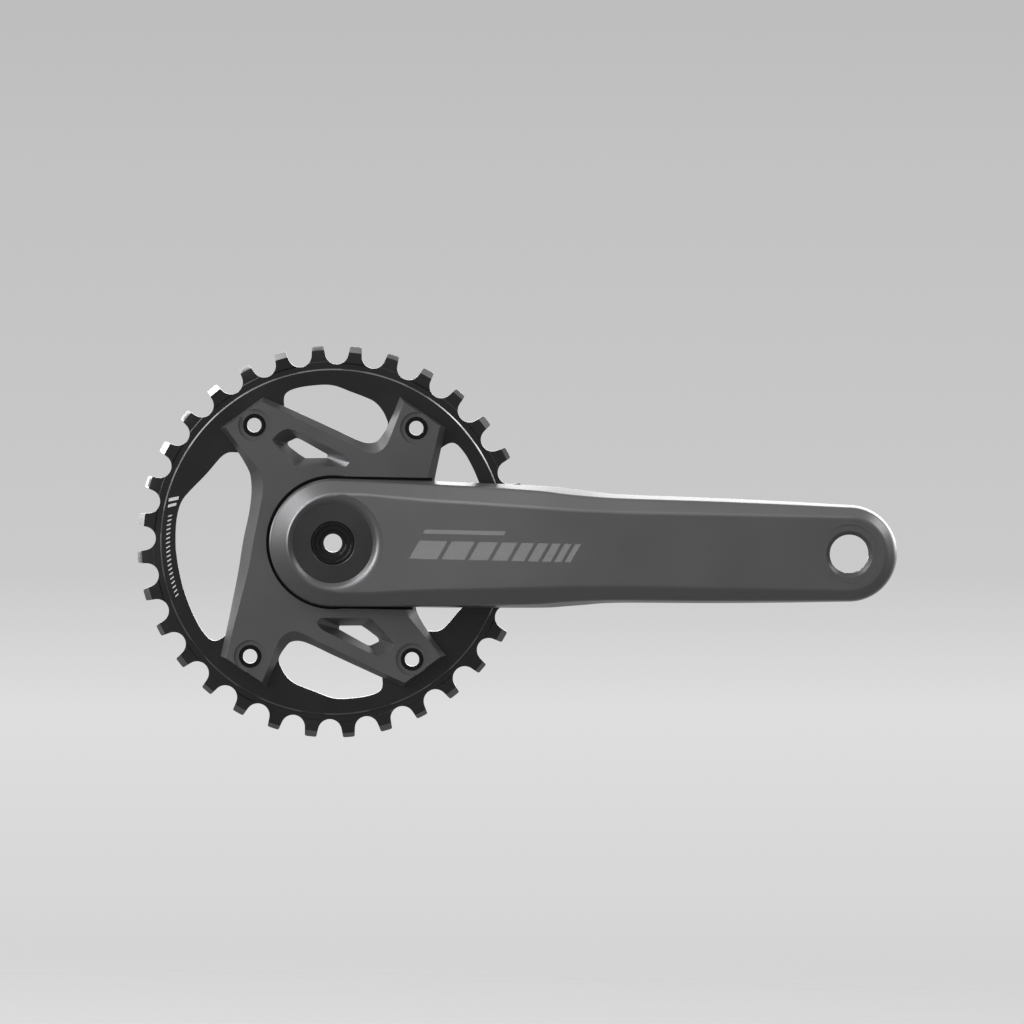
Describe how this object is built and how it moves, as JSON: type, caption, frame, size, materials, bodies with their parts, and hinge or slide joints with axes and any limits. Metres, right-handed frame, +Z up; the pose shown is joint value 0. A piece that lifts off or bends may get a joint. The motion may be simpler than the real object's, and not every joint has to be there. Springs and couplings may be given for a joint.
{
  "type": "bicycle crankset",
  "caption": "Drive-side bicycle crank arm with spider, narrow-wide chainring and hollow spindle turning in threaded bottom-bracket bearings.",
  "frame": {"origin": "on the spindle axis, at the mid-plane of the frame's bottom-bracket shell", "axes": "+X along the crank arm from the spindle to the pedal, +Z up, +Y along the spindle towards the non-drive side, so the chainring and arm lie at -Y"},
  "size_m": [0.2581, 0.1553, 0.1332],
  "materials": {
    "arm_finish": "satin charcoal anodised",
    "spider_finish": "satin dark grey anodised",
    "ring_finish": "black hard anodised, bright machined edges",
    "black_steel": "black oxide",
    "plug_black": "moulded",
    "spindle_steel": "ground",
    "race_steel": "polished",
    "cage_nylon": "moulded",
    "seal_rubber": "moulded",
    "cover_plastic": "moulded",
    "cup_finish": "black anodised",
    "sleeve_plastic": "moulded"
  },
  "bodies": {
    "bottom_bracket": {"drive_cup": "cup_finish", "non_drive_cup": "cup_finish", "cup_sleeve": "sleeve_plastic", "sleeve_o_rings": "seal_rubber", "drive_shell_spacers": "cover_plastic", "non_drive_shell_spacer": "cover_plastic", "drive_outer_race": "race_steel", "non_drive_outer_race": "race_steel", "drive_bearing_seals": "seal_rubber", "non_drive_bearing_seals": "seal_rubber"},
    "crank": {"crank_arm": "arm_finish", "spider": "spider_finish", "spider_lockring": "black_steel", "chainring": "ring_finish", "chainring_bolts": "black_steel", "hub_plug": "plug_black", "hub_plug_o_ring": "seal_rubber", "spindle": "spindle_steel", "arm_seal_ring": "seal_rubber", "drive_dust_cover": "cover_plastic", "non_drive_dust_cover": "cover_plastic", "drive_inner_race": "race_steel", "non_drive_inner_race": "race_steel"},
    "drive_ball_set": {"drive_ball_cage": "cage_nylon", "drive_balls": "race_steel"},
    "non_drive_ball_set": {"non_drive_ball_cage": "cage_nylon", "non_drive_balls": "race_steel"}
  },
  "joints": [
    {"name": "crank_spin", "type": "hinge", "parent": "bottom_bracket", "child": "crank", "pos_m": [0, 0, 0], "axis": [0, 1, 0], "continuous": true},
    {"name": "drive_ball_roll", "type": "hinge", "parent": "bottom_bracket", "child": "drive_ball_set", "pos_m": [0, -0.0437, 0], "axis": [0, 1, 0], "continuous": true},
    {"name": "non_drive_ball_roll", "type": "hinge", "parent": "bottom_bracket", "child": "non_drive_ball_set", "pos_m": [0, 0.0412, 0], "axis": [0, 1, 0], "continuous": true}
  ],
  "couplings": [
    {"joint": "drive_ball_roll", "follows": "crank_spin", "ratio": 0.4435},
    {"joint": "non_drive_ball_roll", "follows": "crank_spin", "ratio": 0.4435}
  ]
}
